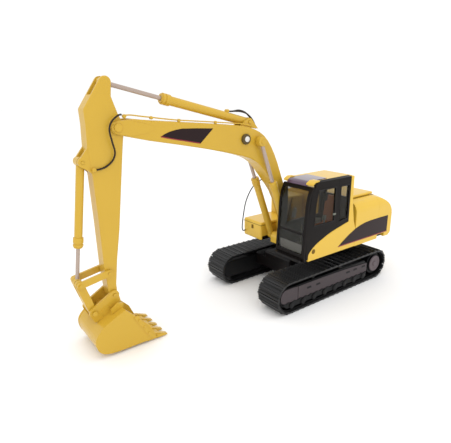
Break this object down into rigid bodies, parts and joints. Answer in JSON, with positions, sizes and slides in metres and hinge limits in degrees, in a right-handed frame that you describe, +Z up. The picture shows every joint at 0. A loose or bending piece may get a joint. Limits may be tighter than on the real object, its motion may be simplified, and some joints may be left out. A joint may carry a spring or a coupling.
{
  "type": "scale model crawler excavator",
  "caption": "Small-scale crawler excavator model with tracks, swinging house, glazed cab, cranked boom, stick, cylinders, bucket linkage and toothed bucket.",
  "frame": {"origin": "centre of the bounding box at the soles of the tracks", "axes": "+X forwards along the arm, +Y to the cab side, +Z up"},
  "size_m": [0.1656, 0.0536, 0.1011],
  "materials": {
    "arm_yellow": "gloss",
    "black": "satin",
    "glass": "clear",
    "hatch": "gloss",
    "hose": "satin",
    "interior": "matte",
    "lamp": "gloss",
    "rod": "polished",
    "track": "satin",
    "track_frame": "satin",
    "wire": "satin",
    "yellow": "gloss"
  },
  "bodies": {
    "undercarriage": {"carbody": "black", "slew_ring": "black", "track_left": "track", "track_right": "track", "track_frame_left": "track_frame", "track_frame_right": "track_frame", "drive_wheel_left": "track_frame", "drive_wheel_right": "track_frame"},
    "superstructure": {"boom_cylinder_pin": "rod", "boom_foot_pin": "rod", "boom_tower": "yellow", "cab_door": "black", "cab_interior": "interior", "cab_quarter_frame": "black", "cab_rear_wall": "yellow", "cab_right_wall": "black", "cab_roof": "yellow", "cab_side_panel": "yellow", "counterweight": "yellow", "deck": "yellow", "door_glass": "glass", "engine_hood": "yellow", "engine_housing": "yellow", "front_step": "black", "handrail": "wire", "quarter_glass": "glass", "rear_glass": "glass", "right_glass": "glass", "roof_hatch": "hatch", "seat": "interior", "storage_box": "yellow", "tank": "yellow", "windscreen_frame": "black", "windscreen_lower": "glass", "windscreen_upper": "glass"},
    "boom": {"boom": "arm_yellow", "boom_lamp": "lamp", "stick_pin": "arm_yellow", "stick_cylinder_pin": "arm_yellow", "boom_pipe": "hose"},
    "boom_cylinders": {"boom_cylinder_left": "arm_yellow", "boom_cylinder_right": "arm_yellow"},
    "boom_rods": {"boom_rod_left": "rod", "boom_rod_right": "rod"},
    "stick": {"stick": "arm_yellow", "bucket_cylinder_pin": "arm_yellow", "guide_pin": "arm_yellow", "stick_hose": "hose"},
    "stick_cylinder": {"stick_cylinder": "arm_yellow", "cylinder_hose_left": "hose", "cylinder_hose_right": "hose"},
    "stick_rod": {"stick_rod": "rod"},
    "bucket_cylinder": {"bucket_cylinder": "arm_yellow"},
    "bucket_rod": {"bucket_rod": "rod"},
    "guide_links": {"guide_link_left": "arm_yellow", "guide_link_right": "arm_yellow"},
    "power_link": {"power_link": "arm_yellow"},
    "bucket": {"bucket": "arm_yellow", "bucket_teeth": "arm_yellow", "bucket_pin": "arm_yellow"}
  },
  "joints": [
    {"name": "swing", "type": "hinge", "parent": "undercarriage", "child": "superstructure", "pos_m": [-0.03177, 0, 0.0211], "axis": [0, 0, 1], "continuous": true},
    {"name": "boom_lift", "type": "hinge", "parent": "superstructure", "child": "boom", "pos_m": [-0.02617, -0.002, 0.0314], "axis": [0, -1, 0], "range_deg": [-70, 28]},
    {"name": "boom_cylinder_tilt", "type": "hinge", "parent": "superstructure", "child": "boom_cylinders", "pos_m": [-0.02107, -0.002, 0.0239], "axis": [0, -1, 0], "range_deg": [-68.5, 27.4]},
    {"name": "boom_rod_travel", "type": "slide", "parent": "boom_cylinders", "child": "boom_rods", "axis": [0.3528, 0, 0.9357], "range_m": [-0.01003, 0.00401]},
    {"name": "stick_swing", "type": "hinge", "parent": "boom", "child": "stick", "pos_m": [0.06203, -0.002, 0.0838], "axis": [0, -1, 0], "range_deg": [-38, 62]},
    {"name": "stick_cylinder_tilt", "type": "hinge", "parent": "boom", "child": "stick_cylinder", "pos_m": [0.00163, -0.002, 0.0827], "axis": [0, -1, 0], "range_deg": [-1.9, 3.2]},
    {"name": "stick_rod_travel", "type": "slide", "parent": "stick_cylinder", "child": "stick_rod", "axis": [0.9681, 0, 0.2505], "range_m": [-0.01529, 0.00937]},
    {"name": "bucket_curl", "type": "hinge", "parent": "stick", "child": "bucket", "pos_m": [0.06923, -0.002, 0.0217], "axis": [0, -1, 0], "range_deg": [-80, 60]},
    {"name": "guide_link_swing", "type": "hinge", "parent": "stick", "child": "guide_links", "pos_m": [0.07023, -0.002, 0.0309], "axis": [0, -1, 0], "range_deg": [-64.4, 48.3]},
    {"name": "power_link_swing", "type": "hinge", "parent": "guide_links", "child": "power_link", "pos_m": [0.08133, -0.002, 0.0289], "axis": [0, -1, 0], "range_deg": [-30.1, 40.1]},
    {"name": "bucket_cylinder_tilt", "type": "hinge", "parent": "stick", "child": "bucket_cylinder", "pos_m": [0.07513, -0.002, 0.0728], "axis": [0, -1, 0], "range_deg": [-6.5, 4.9]},
    {"name": "bucket_rod_travel", "type": "slide", "parent": "bucket_cylinder", "child": "bucket_rod", "axis": [0.1398, 0, -0.9902], "range_m": [-0.00789, 0.01052]}
  ],
  "couplings": [
    {"joint": "boom_cylinder_tilt", "follows": "boom_lift", "ratio": 0.96},
    {"joint": "boom_rod_travel", "follows": "boom_lift", "m_per_rad": 0.00805},
    {"joint": "stick_cylinder_tilt", "follows": "stick_swing", "ratio": 0.05},
    {"joint": "stick_rod_travel", "follows": "stick_swing", "m_per_rad": -0.01385},
    {"joint": "guide_link_swing", "follows": "bucket_curl", "ratio": 0.789},
    {"joint": "power_link_swing", "follows": "bucket_curl", "ratio": -0.492},
    {"joint": "bucket_cylinder_tilt", "follows": "bucket_curl", "ratio": 0.08},
    {"joint": "bucket_rod_travel", "follows": "bucket_curl", "m_per_rad": -0.00739}
  ]
}
